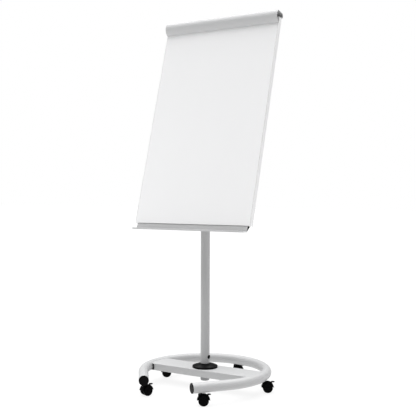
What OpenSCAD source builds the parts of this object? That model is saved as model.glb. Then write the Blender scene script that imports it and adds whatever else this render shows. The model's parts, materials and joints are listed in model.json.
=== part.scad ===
// Mobile flipchart easel: a tilting whiteboard with a paper clamp and a pen tray, on a height-adjustable
// column that stands on a horseshoe tube base with five braked castors.
// Millimetres, +Z up, the board faces -Y. The origin is on the column's axis at floor level.

/* [Board] */
// Width of the board
board_w = 680; // [600:5:720]
// Height of the board
board_h = 1090; // [1000:10:1150]
// Depth of the board's edge profiles
board_d = 26; // [22:1:30]
// Lean of the board at rest, back from the vertical, in degrees
board_tilt = 16; // [10:1:20]
// Distance from the tilt axis forward to the writing surface
face_offset = 60; // [56:1:70]
// Distance from the tilt axis down to the board's bottom edge
bottom_drop = 317; // [300:1:330]

/* [Column] */
// Radius of the outer column tube
column_r = 23.5; // [22:0.5:25]
// Wall of the outer column tube
column_wall = 2.5; // [2:0.5:3]
// Height of the outer column tube's top
column_top = 970; // [955:5:975]
// Radius of the sliding inner tube
inner_r = 19; // [18:0.5:19.5]
// Height of the tilt axis at rest
pivot_z = 1134; // [1124:1:1144]

/* [Base] */
// Radius of the bend of the base tube, at its centre line
bend_r = 316; // [300:1:325]
// Length of each straight limb
limb_len = 188; // [150:1:190]
// Radius of the base tube
ring_r = 25; // [22:0.5:26]
// Width of the crossbar
bar_w = 140; // [120:2:150]
// Height of the crossbar
bar_h = 37; // [32:1:40]

/* [Castors] */
// Radius of the castor wheels
wheel_r = 25; // [22:0.5:25]
// Tread width of one wheel
wheel_w = 15; // [12:0.5:15]
// Distance of the wheel axle behind the swivel axis
trail = 16; // [15:0.5:18]
// Clearance from the floor to the base tube
castor_h = 60; // [60:1:66]
// Heading of the front left castor at rest, in degrees
front_left_heading = 68; // [0:1:90]
// Heading of the other castors at rest, in degrees
heading = 33; // [0:1:60]

/* [Clamp rail and tray] */
// Radius of the rail's front bulge
bulge_r = 42; // [38:0.5:44]
// Opening angle of the bulge's far end, in degrees
bulge_end = 25; // [20:1:32]
// Sheet thickness of the rail and the tray
sheet_t = 2; // [1.5:0.25:2]
// Height of the rail's bottom edge above the board's bottom edge
rail_bottom = 1055; // [960:5:1055]
// Length of the pen tray
tray_w = 652; // [600:2:660]
// Depth of the pen tray
tray_d = 43; // [38:1:50]
// Distance of each paper hook from the middle
hook_x = 280; // [200:5:285]

/* [Hidden] */
$fn = 64;
eps = 1;                        // cutters reach this far past what they cut
running = 0.05;                 // radial clearance of a pin that turns in a hole
ring_z = castor_h + ring_r;
ring_wall = 2;
bar_top = ring_z + bar_h / 2;
bar_bottom = ring_z - bar_h / 2;
bar_wall = 3;
column_ir = column_r - column_wall;

// The horseshoe's limbs leave the arc tangentially and close in 3 across for every 4 forward
limb_turn = atan(3 / 4);
arc_end = bend_r * [0.8, -0.6];
limb_dir = [-0.6, -0.8];
limb_end = arc_end + limb_len * limb_dir;
cap_t = 3;
collar_r = 65;
neck_r = column_r + 2.5;

// Castor stations: name, swivel axis and heading
front_stem = limb_end - 41 * limb_dir;
side_angle = 103;
side_stem = bend_r * [sin(side_angle), -cos(side_angle)];
STATIONS = [
    ["front_left", [-front_stem.x, front_stem.y], front_left_heading],
    ["front_right", front_stem, heading],
    ["left", [-side_stem.x, side_stem.y], heading],
    ["right", side_stem, heading],
    ["back", [0, bend_r], heading],
];
CASTOR_PARTS = ["housing", "axle", "wheel_left", "wheel_right", "brake_pedal"];
web_half = 5;                   // half thickness of the housing's middle web
wheel_in = 5.6;                 // distance of a wheel's inner face from the middle
axle_r = 3;
hood_in = 28.5;
hood_out = 30.5;
hood_half = 17;
hood_rim = wheel_r + 4;         // height of the hood's lower rim
stem_r = 5;
journal_r = 4;
neck_top = castor_h - 5;
pedal_pivot = [trail + 12, wheel_r + 19];
pedal_reach = 35;               // distance of the pedal's tip past the wheel axle

// Gas spring and release gear
foot_bottom = 37;
spigot_top = 89;
cylinder_r = 14;
cylinder_top = 500;
piston_z = 295;
rod_r = 5;
rod_top = pivot_z - 45;
tube_bottom = 594;
tube_top = pivot_z - 48;
pin_r = 2.5;
pin_top = rod_top + 5;
lever_pivot = [19, pivot_z - 37];
lever_t = 5.4;
bolt_r = 6;
cheek_x = 20.3;                 // inner face of the tilt bracket's cheeks
cheek_t = 4;

// Board, in its own frame: origin on the tilt axis, +Y to the back, +Z up the board
face_y = -face_offset;
back_y = face_y + board_d;
board_z0 = -bottom_drop;
board_z1 = board_z0 + board_h;
half_w = board_w / 2;
skin_t = 1;
backing_t = 8;
edge_t = 1.8;
groove = 1.2;
sheet_x = half_w - edge_t - groove;
lip_w = 10;
lip_t = 1.5;
channel_x = 90;
channel_w = 40;
plate_t = 3;
plate_y = back_y + plate_t;
plug_z = bar_top + 55;
plug_r = 10;

// Clamp rail section, as [n, s]: n is the distance in front of the writing surface, s the height above the
// rail's bottom edge. The bulge starts on the surface, turns over at the top and ends in the hinge knuckle.
rail_z = board_z0 + rail_bottom;
bulge_n = 13;
bulge_c = [-bulge_n, sqrt(bulge_r * bulge_r - bulge_n * bulge_n)];
corner_r = 8;
rear_r = 12;
top_len = 41;
top_turn = 87;
corner_c = bulge_c + (bulge_r - corner_r) * dir2(bulge_end);
rear_c = corner_c + (corner_r - rear_r) * dir2(top_turn) + top_len * dir2(top_turn + 90);
knuckle_r = 4.2;
rod_hinge_r = 2;
knuckle = [rear_c.x - rear_r + 4, rear_c.y - 8];
jaw_gap = 0.3;
hinge_screw_s = 27;
bracket_x = [-250, 0, 250];
bracket_w = 20;
spring_room = 16;

// Pen tray section, as [n, s] from the board's bottom front edge; its floor is level when the board leans back
tray_lean = 16;
tray_back_r = 8;
tray_front_r = 4;
tray_back = [3, -25];
tray_front = tray_back + (tray_d - tray_back_r - tray_front_r) * dir2(-tray_lean)
             + (tray_back_r - tray_front_r) * dir2(-90 - tray_lean);
tray_lip_h = 3;
tray_bead_r = 1.6;

// Hook track section and hooks
track_s0 = 15;
track_s1 = 33;
track_n = 4;
hook_s = (track_s0 + track_s1) / 2;
hook_pin_r = 2.75;
hook_pin_n = 11.8;
hook_face_n = 6.3;

function dir2(a) = [cos(a), sin(a)];
function arc(c, r, from, to, n = 12, first = 0) =
    [for (i = [first:n]) c + r * dir2(from + (to - from) * i / n)];
function flip(v) = [for (i = [len(v) - 1:-1:0]) v[i]];

// ---- Placing helpers ----

// The board's frame: origin on the tilt axis, leaning back
module on_board() {
    translate([0, 0, pivot_z]) rotate([-board_tilt, 0, 0]) children();
}

// Extrudes a [y, z] outline along X, centred
module along_x(w) {
    rotate([90, 0, 90]) linear_extrude(height = w, center = true) children();
}

// A rod along X, centred
module rod_x(r, w, fn = 64) {
    rotate([0, 90, 0]) cylinder(r = r, h = w, center = true, $fn = fn);
}

// A rod along Y, centred
module rod_y(r, w) {
    rotate([90, 0, 0]) cylinder(r = r, h = w, center = true);
}

// A box from its two opposite corners
module block(a, b) {
    translate(a) cube(b - a);
}

// Puts a [n, s] section of the clamp rail's frame on the board
function on_face(v) = [for (p = v) [face_y - p.x, rail_z + p.y]];

// Puts a [n, s] section, with s measured from the board's bottom edge, on the board
function below_board(v) = [for (p = v) [face_y - p.x, board_z0 + p.y]];

// ---- Base ----

// Puts its children at each limb's start, pointing down the limb along Z
module at_limbs() {
    for (side = [-1, 1]) translate([side * arc_end.x, arc_end.y, ring_z])
        rotate([0, 0, -side * limb_turn]) rotate([90, 0, 0]) children();
}

// The horseshoe's centre line swept with a disc of radius r
module horseshoe(r, extra = 0) {
    far = 2 * arc_end;
    difference() {
        translate([0, 0, ring_z]) rotate_extrude($fn = 96) translate([bend_r, 0]) circle(r = r);
        linear_extrude(height = 2 * ring_z) polygon([[0, 0], far, [0, 2 * far.y], [-far.x, far.y]]);
    }
    at_limbs() cylinder(r = r, h = limb_len + extra);
}

// Puts its children on each castor's swivel axis
module at_stems() {
    for (s = STATIONS) translate([s[1].x, s[1].y, 0]) children();
}

module base_ring() {
    color([0.80, 0.81, 0.82]) difference() {
        horseshoe(ring_r);
        horseshoe(ring_r - ring_wall, eps);
        at_stems() cylinder(r = 9, h = ring_z - 10);
    }
}

module ring_end_caps() {
    color([0.05, 0.05, 0.05]) at_limbs() translate([0, 0, limb_len]) {
        cylinder(r = ring_r, h = cap_t - 1);
        translate([0, 0, cap_t - 1]) cylinder(r1 = ring_r, r2 = ring_r - 2, h = 1);
        translate([0, 0, -14]) cylinder(r = ring_r - ring_wall, h = 14);
    }
}

module crossbar() {
    color([0.82, 0.83, 0.84]) difference() {
        block([-bend_r, -bar_w / 2, bar_bottom], [bend_r, bar_w / 2, bar_top]);
        block([-bend_r - eps, -bar_w / 2 + bar_wall, bar_bottom + bar_wall],
              [bend_r + eps, bar_w / 2 - bar_wall, bar_top - bar_wall]);
        translate([0, 0, ring_z]) rotate_extrude($fn = 96) translate([bend_r, 0]) circle(r = ring_r);
        translate([0, 0, bar_bottom - eps]) cylinder(r = column_r, h = bar_h + 2 * eps);
    }
}

module castor_sockets() {
    color([0.62, 0.63, 0.64]) at_stems() difference() {
        translate([0, 0, castor_h - 2]) cylinder(r = 9, h = 18);
        translate([0, 0, castor_h - 2 - eps]) cylinder(r = stem_r, h = 20);
    }
}

module castor_stems() {
    color([0.05, 0.05, 0.055]) at_stems() {
        translate([0, 0, neck_top - 14.6]) cylinder(r = journal_r, h = 15);
        translate([0, 0, neck_top + 0.3]) cylinder(r = 8, h = castor_h - 2 - neck_top - 0.3);
        translate([0, 0, castor_h - 2]) cylinder(r = stem_r, h = 16);
    }
}

module column_foot() {
    color([0.45, 0.46, 0.47]) difference() {
        union() {
            translate([0, 0, foot_bottom]) cylinder(r1 = column_r - 4, r2 = column_r - 0.5, h = 4);
            translate([0, 0, foot_bottom + 4]) cylinder(r = column_r - 0.5, h = bar_bottom - foot_bottom - 4);
            translate([0, 0, bar_bottom]) cylinder(r = column_ir, h = spigot_top - bar_bottom);
        }
        translate([0, 0, foot_bottom - eps]) cylinder(r = 7, h = 7, $fn = 6);
    }
}

module column_collar() {
    outer = concat([[collar_r, 0], [collar_r, 8]],
                   [for (i = [0:10]) let (f = i / 10, r = collar_r - 1 - f * (collar_r - 1 - neck_r))
                       [r, 9.7 + 10 * (1 - (1 - f) * (1 - f))]],
                   [[neck_r, 22], [column_r, 22]]);
    inner = [[column_r, 14], [neck_r + 4, 14], [collar_r - 5, 6], [collar_r - 2.5, 0]];
    color([0.04, 0.04, 0.045]) translate([0, 0, bar_top]) rotate_extrude($fn = 96)
        polygon(concat(outer, inner));
}

module column_tube() {
    color([0.74, 0.75, 0.76]) difference() {
        translate([0, 0, bar_bottom]) cylinder(r = column_r, h = column_top - bar_bottom);
        translate([0, 0, bar_bottom - eps]) cylinder(r = column_ir, h = column_top - bar_bottom + 2 * eps);
        translate([column_r, 0, plug_z]) rod_x(plug_r - 2, 16);
    }
}

module column_plug() {
    color([0.05, 0.05, 0.05]) translate([0, 0, plug_z]) {
        translate([column_r - 2.5, 0, 0]) rod_x(plug_r - 2, 6);
        difference() {
            translate([column_r, 0, 0]) rod_x(plug_r, 4);
            cylinder(r = column_r, h = 3 * plug_r, center = true);
        }
    }
}

module guide_bush() {
    color([0.06, 0.06, 0.06]) difference() {
        union() {
            translate([0, 0, column_top - 60]) cylinder(r = column_ir, h = 60);
            translate([0, 0, column_top]) cylinder(r = column_r + 1, h = 8);
        }
        translate([0, 0, column_top - 60 - eps]) cylinder(r = inner_r + running, h = 70);
    }
}

module gas_spring_cylinder() {
    color([0.08, 0.08, 0.08]) difference() {
        translate([0, 0, spigot_top]) cylinder(r = cylinder_r, h = cylinder_top - spigot_top);
        translate([0, 0, spigot_top + 10]) cylinder(r = cylinder_r - 2, h = cylinder_top - spigot_top - 22);
        translate([0, 0, cylinder_top - 20]) cylinder(r = rod_r + running, h = 21);
    }
}

// ---- Castors ----
// Each piece is drawn with the swivel axis on Z, the floor at 0 and the wheels trailing along +X.

// Puts its children on the wheel axle, with the axle along Z
module on_axle() {
    translate([trail, 0, wheel_r]) rotate([90, 0, 0]) children();
}

module castor_housing() {
    pocket_w = 20;
    color([0.04, 0.04, 0.04]) difference() {
        union() {
            difference() {
                on_axle() cylinder(r = hood_out, h = 2 * hood_half, center = true);
                block([trail - 40, -30, -10], [trail + 40, 30, hood_rim]);
            }
            on_axle() cylinder(r = 9, h = 2 * hood_half, center = true);
            block([trail - 8, -hood_half + 1, wheel_r], [trail + 8, hood_half - 1, hood_rim + 5]);
            translate([0, 0, hood_rim + 4]) cylinder(r = 10, h = neck_top - hood_rim - 4);
        }
        on_axle() {
            for (side = [-1, 1]) translate([0, 0, side * (web_half + pocket_w / 2)])
                cylinder(r = hood_in, h = pocket_w, center = true);
            cylinder(r = axle_r, h = 3 * web_half, center = true);
        }
        translate([0, 0, neck_top - 15]) cylinder(r = journal_r + running, h = 16);
        block([pedal_pivot.x - 6, -3.3, pedal_pivot.y - 7], [pedal_pivot.x + 18, 3.3, neck_top + eps]);
        translate([pedal_pivot.x, 0, pedal_pivot.y]) rod_y(2 + running, 3 * web_half);
    }
}

module castor_axle() {
    color([0.70, 0.71, 0.72]) on_axle()
        cylinder(r = axle_r, h = 2 * (wheel_in + wheel_w - 3), center = true);
}

// One wheel, its hollow side facing the web; side is 1 for the left wheel and -1 for the right
module castor_wheel(side) {
    hub_r = 7;
    rim_in = wheel_r - 4;
    deep = wheel_w - 3;
    outline = [
        [0, wheel_w], [0, wheel_w - 2], [axle_r + running, wheel_w - 2], [axle_r + running, 0], [hub_r, 0],
        [hub_r, deep], [rim_in, deep], [rim_in, 0], [wheel_r - 1.5, 0], [wheel_r, 1.5],
        [wheel_r, wheel_w - 2], [wheel_r - 2, wheel_w], [wheel_r - 5, wheel_w], [wheel_r - 6, wheel_w - 1],
        [hub_r + 1, wheel_w - 1], [hub_r, wheel_w]
    ];
    color([0.06, 0.06, 0.065]) translate([trail, 0, wheel_r])
        rotate([-90 * side, 0, 0]) translate([0, 0, wheel_in]) rotate_extrude() polygon(outline);
}

module castor_brake_pedal() {
    p = pedal_pivot;
    tab_z = neck_top - 3.5;
    tip = trail + pedal_reach;
    color([0.05, 0.05, 0.05]) {
        translate([p.x, 0, p.y]) {
            rod_y(2, 2 * web_half);
            rod_y(4, 5.8);
        }
        rotate([90, 0, 0]) linear_extrude(height = 5.8, center = true)
            polygon([[p.x - 3, p.y], [p.x + 3, p.y], [p.x + 12, tab_z + 0.5], [p.x + 12, tab_z + 3], [p.x + 5, tab_z + 3]]);
        block([p.x + 6, -8, tab_z], [tip - 8, 8, tab_z + 4]);
        translate([tip - 8, 0, tab_z]) cylinder(r = 8, h = 4);
    }
}

module castor_part(part) {
    if (part == "housing") castor_housing();
    if (part == "axle") castor_axle();
    if (part == "wheel_left") castor_wheel(1);
    if (part == "wheel_right") castor_wheel(-1);
    if (part == "brake_pedal") castor_brake_pedal();
}

// ---- Sliding column ----

module gas_spring_rod() {
    color([0.85, 0.86, 0.87]) difference() {
        union() {
            translate([0, 0, piston_z]) cylinder(r = cylinder_r - 2.1, h = 12);
            translate([0, 0, piston_z + 12]) cylinder(r = rod_r, h = rod_top - piston_z - 12);
        }
        translate([0, 0, rod_top - 12]) cylinder(r = pin_r + running, h = 13);
    }
}

module release_pin() {
    color([0.6, 0.6, 0.62]) translate([0, 0, pin_top - 13]) cylinder(r = pin_r, h = 13);
}

module inner_tube() {
    color([0.78, 0.79, 0.80]) difference() {
        translate([0, 0, tube_bottom]) cylinder(r = inner_r, h = tube_top - tube_bottom);
        translate([0, 0, tube_bottom - eps]) cylinder(r = inner_r - 2, h = tube_top - tube_bottom + 2 * eps);
    }
}

module head_block() {
    shoulder = pivot_z - 28;
    color([0.10, 0.10, 0.11]) difference() {
        union() {
            translate([0, 0, pivot_z - 68]) cylinder(r = column_r + 1.5, h = 40);
            block([-20, -20, shoulder], [20, 20, pivot_z]);
            translate([0, 0, pivot_z]) rod_x(20, 40);
        }
        translate([0, 0, tube_top - 60]) cylinder(r = inner_r, h = 60);
        translate([0, 0, tube_top - eps]) cylinder(r = rod_r, h = rod_top - tube_top + 2 * eps);
        block([-14, -5.5, rod_top], [30, 5.5, shoulder - 2]);
        translate([0, 0, pivot_z]) rod_x(bolt_r + running, 50);
        translate([lever_pivot.x, 0, lever_pivot.y]) rod_y(pin_r + running, 28);
    }
}

module release_lever() {
    color([0.70, 0.71, 0.72]) translate([0, 0, lever_pivot.y]) {
        block([-8, -5, -lever_t / 2], [62, 5, lever_t / 2]);
        translate([lever_pivot.x, 0, 0]) rod_y(pin_r, 26);
        translate([115, 0, 0]) rod_x(4, 110);
    }
}

module lever_grip() {
    color([0.05, 0.05, 0.05]) translate([0, 0, lever_pivot.y]) difference() {
        union() {
            translate([140, 0, 0]) rod_x(9, 70);
            translate([175, 0, 0]) sphere(r = 9);
        }
        translate([135, 0, 0]) rod_x(4, 70);
    }
}

// ---- Board ----

module tilt_bolt() {
    color([0.72, 0.73, 0.74]) on_board() {
        translate([-12, 0, 0]) rod_x(bolt_r, 76);
        translate([cheek_x + cheek_t + 3.5, 0, 0]) rod_x(10, 7, 6);
    }
}

module tilt_knob() {
    lobes = 5;
    color([0.05, 0.05, 0.05]) on_board() difference() {
        union() {
            translate([-31.5, 0, 0]) rod_x(12, 13.6);
            translate([-46, 0, 0]) rod_x(20, 16);
            for (i = [0:lobes - 1]) rotate([i * 360 / lobes, 0, 0]) translate([-46, 0, 19]) rod_x(7, 14);
        }
        translate([-37, 0, 0]) rod_x(bolt_r + running, 27);
    }
}

module tilt_bracket() {
    color([0.80, 0.81, 0.82]) on_board() difference() {
        union() {
            block([-115, back_y, -70], [115, plate_y, 70]);
            for (side = [-1, 1]) translate([side * (cheek_x + cheek_t / 2), 0, 0]) {
                rod_x(26, cheek_t);
                block([-cheek_t / 2, back_y + 1, -24], [cheek_t / 2, 0, 24]);
            }
        }
        rod_x(bolt_r, 60);
        bracket_screws() rod_y(3, 40);
    }
}

// Puts its children on the bracket's screws
module bracket_screws() {
    for (x = [-channel_x, channel_x]) for (z = [-50, 50]) translate([x, plate_y, z]) children();
}

module back_channels() {
    color([0.70, 0.71, 0.72]) on_board() difference() {
        for (x = [-channel_x, channel_x]) translate([x, 0, 0]) difference() {
            block([-channel_w / 2, face_y + skin_t + backing_t, board_z0 + 12],
                  [channel_w / 2, back_y, board_z1 - 30]);
            block([-channel_w / 2 + 2, face_y, board_z0], [channel_w / 2 - 2, back_y - 2, board_z1]);
        }
        bracket_screws() rod_y(3, 40);
    }
}

// Puts its children on the tray's screws, under the board
module tray_screws() {
    for (x = [-300, -100, 100, 300]) translate([x, face_y + 13, board_z0]) children();
}

// Puts its children on the hinge brackets' screws
module hinge_screws() {
    for (x = bracket_x) translate([x, back_y, rail_z + hinge_screw_s]) children();
}

module board_screws() {
    color([0.75, 0.76, 0.77]) on_board() {
        bracket_screws() {
            translate([0, 1.5, 0]) rod_y(5.5, 3);
            translate([0, -4.5, 0]) rod_y(3, 9);
        }
        tray_screws() {
            translate([0, 0, -sheet_t - 2.5]) cylinder(r = 4, h = 2.5);
            translate([0, 0, -sheet_t]) cylinder(r = 2, h = 10);
        }
        hinge_screws() {
            translate([0, 3.1, 0]) rod_y(4, 2.2);
            translate([0, -1, 0]) rod_y(2, 6);
        }
    }
}

module whiteboard_sheet() {
    color([0.95, 0.95, 0.95]) on_board()
        block([-sheet_x, face_y, board_z0 + edge_t], [sheet_x, face_y + skin_t, board_z1 - edge_t]);
}

module backing_board() {
    color([0.86, 0.86, 0.85]) on_board()
        block([edge_t - half_w, face_y + skin_t, board_z0 + edge_t],
              [half_w - edge_t, face_y + skin_t + backing_t, board_z1 - edge_t]);
}

module side_profile(side) {
    color([0.96, 0.96, 0.96]) on_board() mirror([side < 0 ? 1 : 0, 0, 0]) {
        block([half_w - edge_t, face_y, board_z0], [half_w, back_y, board_z1]);
        block([half_w - edge_t - lip_w, back_y - lip_t, board_z0 + edge_t],
              [half_w - edge_t, back_y, board_z1 - edge_t]);
    }
}

module cross_profiles() {
    web_x = half_w - edge_t;
    lip_x = web_x - lip_w;
    color([0.94, 0.94, 0.94]) on_board() difference() {
        union() {
            block([-web_x, face_y, board_z0], [web_x, back_y, board_z0 + edge_t]);
            block([-lip_x, back_y - lip_t, board_z0 + edge_t], [lip_x, back_y, board_z0 + edge_t + lip_w]);
            block([-web_x, face_y, board_z1 - edge_t], [web_x, back_y, board_z1]);
            block([-lip_x, back_y - lip_t, board_z1 - edge_t - 28], [lip_x, back_y, board_z1 - edge_t]);
        }
        tray_screws() cylinder(r = 2, h = 20, center = true);
        hinge_screws() rod_y(2, 20);
    }
}

module pen_tray() {
    rise = 90 - tray_lean;
    function lip(o) = tray_front + (tray_front_r - o) * dir2(-tray_lean) + tray_lip_h * dir2(rise);
    function side(o) = concat([[o - 5, 0]], arc(tray_back, tray_back_r - o, 180, 180 + rise, 6),
                              arc(tray_front, tray_front_r - o, 180 + rise, 360 - tray_lean, 6), [lip(o)]);
    bead = lip(sheet_t / 2);
    color([0.72, 0.73, 0.74]) on_board() difference() {
        union() {
            along_x(tray_w) polygon(below_board(concat(side(0), flip(side(sheet_t)))));
            block([-tray_w / 2, face_y + 4, board_z0 - sheet_t], [tray_w / 2, face_y + 22, board_z0]);
            translate([0, face_y - bead.x, board_z0 + bead.y]) rod_x(tray_bead_r, tray_w);
        }
        tray_screws() cylinder(r = 2, h = 20, center = true);
    }
}

module hook_track() {
    n = track_n;
    wall = 1.2;
    lip = 3.5;
    section = [
        [0, track_s0], [n, track_s0], [n, track_s0 + lip], [n - 1, track_s0 + lip], [n - 1, track_s0 + wall],
        [wall, track_s0 + wall], [wall, track_s1 - wall], [n - 1, track_s1 - wall], [n - 1, track_s1 - lip],
        [n, track_s1 - lip], [n, track_s1], [0, track_s1]
    ];
    color([0.72, 0.73, 0.74]) on_board() along_x(620) polygon(on_face(section));
}

module paper_hook(side) {
    color([0.06, 0.06, 0.06]) on_board() translate([side * hook_x, face_y, rail_z + hook_s]) {
        block([-8, -2.7, -7.5], [8, -1.5, 7.5]);
        block([-8, -track_n - 0.4, -5.2], [8, -2.7, 5.2]);
        block([-9, -hook_face_n, -7], [9, -track_n - 0.4, 7]);
        translate([0, -(hook_face_n + hook_pin_n) / 2, 0]) rod_y(hook_pin_r, hook_pin_n - hook_face_n);
    }
}

// ---- Paper clamp ----

// Puts its children on the clamp's hinge axis
module on_hinge() {
    on_board() translate([0, face_y - knuckle.x, rail_z + knuckle.y]) children();
}

module hinge_brackets() {
    behind = -back_y + face_y - knuckle.x;
    color([0.70, 0.71, 0.72]) difference() {
        on_hinge() for (x = bracket_x) translate([x, 0, 0]) {
            rod_x(4, bracket_w);
            block([-bracket_w / 2, -behind, -6], [bracket_w / 2, 0, 0]);
            block([-bracket_w / 2, -behind, -24], [bracket_w / 2, 2 - behind, 0]);
        }
        on_hinge() rod_x(rod_hinge_r, board_w);
        on_board() hinge_screws() rod_y(2, 20);
    }
}

module hinge_rod() {
    color([0.75, 0.76, 0.77]) on_hinge() rod_x(rod_hinge_r, board_w - 4);
}

// A torsion spring round the hinge rod: a leg up the board's back, the coil, and a leg up under the rail
module clamp_spring(x0, turning) {
    wire = 0.7;
    coil = 3.4;
    turns = 5;
    steps = 12 * turns;
    sides = 8;
    pitch = 2.2;
    function on_coil(a) = [x0 + turning * pitch * a / 360, -coil * cos(a), coil * sin(a)];
    mids = concat([on_coil(0) - [0, 0, 14]], [for (i = [0:steps]) on_coil(i * 360 * turns / steps)],
                  [on_coil(360 * turns) + [0, 0, 13]]);
    last = len(mids) - 1;
    function out(i) = let (a = 360 * turns * min(max(i - 1, 0), steps) / steps) [0, -cos(a), sin(a)];
    function along(i) = let (d = mids[min(i + 1, last)] - mids[max(i - 1, 0)]) d / norm(d);
    points = [for (i = [0:last]) for (k = [0:sides - 1])
        mids[i] + wire * (cos(360 * k / sides) * out(i) + sin(360 * k / sides) * cross(along(i), out(i)))];
    walls = [for (i = [0:last - 1]) for (k = [0:sides - 1]) let (q = (k + 1) % sides)
        [i * sides + k, i * sides + q, (i + 1) * sides + q, (i + 1) * sides + k]];
    polyhedron(points, concat(walls, [[for (k = [sides - 1:-1:0]) k]],
                              [[for (k = [0:sides - 1]) last * sides + k]]));
}

module clamp_springs() {
    color([0.55, 0.56, 0.57]) on_hinge() for (side = [-1, 1])
        clamp_spring(side * (bracket_x[2] - bracket_w / 2 - 2), -side);
}

module clamp_rail() {
    function side(o) = concat(
        arc(bulge_c, bulge_r - o, -acos((bulge_n + jaw_gap) / (bulge_r - o)), bulge_end, 14),
        arc(corner_c, corner_r - o, bulge_end, top_turn, 6, 1),
        arc(rear_c, rear_r - o, top_turn, 180, 8),
        [[rear_c.x - rear_r + o, knuckle.y]]);
    color([0.75, 0.76, 0.77]) difference() {
        union() {
            on_board() along_x(board_w) polygon(on_face(concat(side(0), flip(side(sheet_t)))));
            on_hinge() rod_x(knuckle_r, board_w);
        }
        on_hinge() {
            rod_x(rod_hinge_r + running, board_w + 2 * eps);
            for (x = bracket_x) {
                low = x - bracket_w / 2 - 0.5 - (x > 0 ? spring_room : 0);
                high = x + bracket_w / 2 + 0.5 + (x < 0 ? spring_room : 0);
                block([low, -6, -6], [high, 6, 5.5]);
            }
        }
    }
}

// ---- Assembly ----

base_ring();
ring_end_caps();
crossbar();
castor_sockets();
castor_stems();
column_foot();
column_collar();
column_tube();
column_plug();
guide_bush();
gas_spring_cylinder();
for (s = STATIONS) for (p = CASTOR_PARTS)
    translate([s[1].x, s[1].y, 0]) rotate([0, 0, s[2]]) castor_part(p);
gas_spring_rod();
release_pin();
inner_tube();
head_block();
release_lever();
lever_grip();
tilt_bolt();
tilt_knob();
tilt_bracket();
back_channels();
board_screws();
whiteboard_sheet();
backing_board();
side_profile(-1);  // side_profile_left
side_profile(1);  // side_profile_right
cross_profiles();
pen_tray();
hook_track();
paper_hook(-1);  // paper_hook_left
paper_hook(1);  // paper_hook_right
hinge_brackets();
hinge_rod();
clamp_springs();
clamp_rail();
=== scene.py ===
"""Looks of a mobile flipchart easel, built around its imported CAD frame. Metres, +Z up, the board faces -Y.

Outlines are written in millimetres, as [x, y] or [x, y, corner radius], and placed by a matrix that turns
them into metres in the CAD frame. Each piece rides on a CAD body and replaces the CAD node it details.
"""
import json
from math import acos, asin, atan2, cos, degrees, pi, radians, sin, sqrt, tan

import bmesh
import bpy
from mathutils import Matrix, Vector


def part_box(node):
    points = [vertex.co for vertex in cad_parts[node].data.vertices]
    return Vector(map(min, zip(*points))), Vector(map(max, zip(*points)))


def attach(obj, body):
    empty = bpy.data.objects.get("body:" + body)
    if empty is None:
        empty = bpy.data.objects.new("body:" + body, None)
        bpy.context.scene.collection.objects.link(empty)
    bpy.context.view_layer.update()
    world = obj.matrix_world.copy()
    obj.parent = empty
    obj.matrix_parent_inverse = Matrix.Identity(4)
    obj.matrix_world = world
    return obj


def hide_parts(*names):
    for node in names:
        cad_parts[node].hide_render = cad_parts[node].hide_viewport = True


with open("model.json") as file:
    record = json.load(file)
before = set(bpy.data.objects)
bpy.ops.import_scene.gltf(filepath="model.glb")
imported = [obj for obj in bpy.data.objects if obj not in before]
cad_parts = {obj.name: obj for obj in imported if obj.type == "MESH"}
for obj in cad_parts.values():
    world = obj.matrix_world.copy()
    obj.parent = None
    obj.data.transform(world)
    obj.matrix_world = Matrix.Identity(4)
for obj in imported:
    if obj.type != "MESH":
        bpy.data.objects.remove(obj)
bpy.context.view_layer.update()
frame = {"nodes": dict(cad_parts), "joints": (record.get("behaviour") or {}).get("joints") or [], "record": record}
JOINTS = {j["name"]: j for j in frame["joints"]}
SLOTS = {p["node"]: p["material_slot"] for p in frame["record"]["subparts"]}
BODIES = {n: body for body, nodes in frame["record"]["behaviour"]["bodies"].items() for n in nodes}
MM = Matrix.Scale(0.001, 4)

# ---- Camera, light and floor ----


def make_camera():
    """Looks at the board from its right, 4 m away, with the lens 1 m above the floor."""
    data = bpy.data.cameras.new("camera")
    data.sensor_width = 36
    data.lens = 66.62
    camera = bpy.data.objects.new("camera", data)
    camera.location = (2.0863, -3.3581, 1.0000)
    turn, down, roll = radians(31.67), radians(1.106), radians(-0.19)
    camera.rotation_euler = (pi / 2 - down, roll, turn)
    bpy.context.scene.collection.objects.link(camera)
    bpy.context.scene.camera = camera


def softbox(name, place, aim, size, power):
    """A soft rectangular light at place, turned towards aim."""
    data = bpy.data.lights.new(name, "AREA")
    data.shape = "RECTANGLE"
    data.size, data.size_y = size
    data.energy = power
    light = bpy.data.objects.new(name, data)
    light.location = place
    light.rotation_euler = (Vector(aim) - Vector(place)).to_track_quat("-Z", "Y").to_euler()
    bpy.context.scene.collection.objects.link(light)


def overhead():
    """Wide, even light from above, a little from the front."""
    data = bpy.data.lights.new("overhead", "SUN")
    data.energy = 4.6
    data.angle = radians(80)
    light = bpy.data.objects.new("overhead", data)
    light.rotation_euler = (radians(-4), radians(-8), 0)
    bpy.context.scene.collection.objects.link(light)


def make_world():
    """A white cove: full white behind the object, a softer white as light."""
    world = bpy.data.worlds.new("studio")
    bpy.context.scene.world = world
    world.use_nodes = True
    tree = world.node_tree
    seen = tree.nodes["Background"]
    seen.inputs["Color"].default_value = (1, 1, 1, 1)
    seen.inputs["Strength"].default_value = 1.0
    lit = tree.nodes.new("ShaderNodeBackground")
    lit.inputs["Color"].default_value = (0.97, 0.98, 1.0, 1)
    lit.inputs["Strength"].default_value = 0.24
    rays = tree.nodes.new("ShaderNodeLightPath")
    mix = tree.nodes.new("ShaderNodeMixShader")
    tree.links.new(rays.outputs["Is Camera Ray"], mix.inputs["Fac"])
    tree.links.new(lit.outputs["Background"], mix.inputs[1])
    tree.links.new(seen.outputs["Background"], mix.inputs[2])
    tree.links.new(mix.outputs["Shader"], tree.nodes["World Output"].inputs["Surface"])


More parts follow.
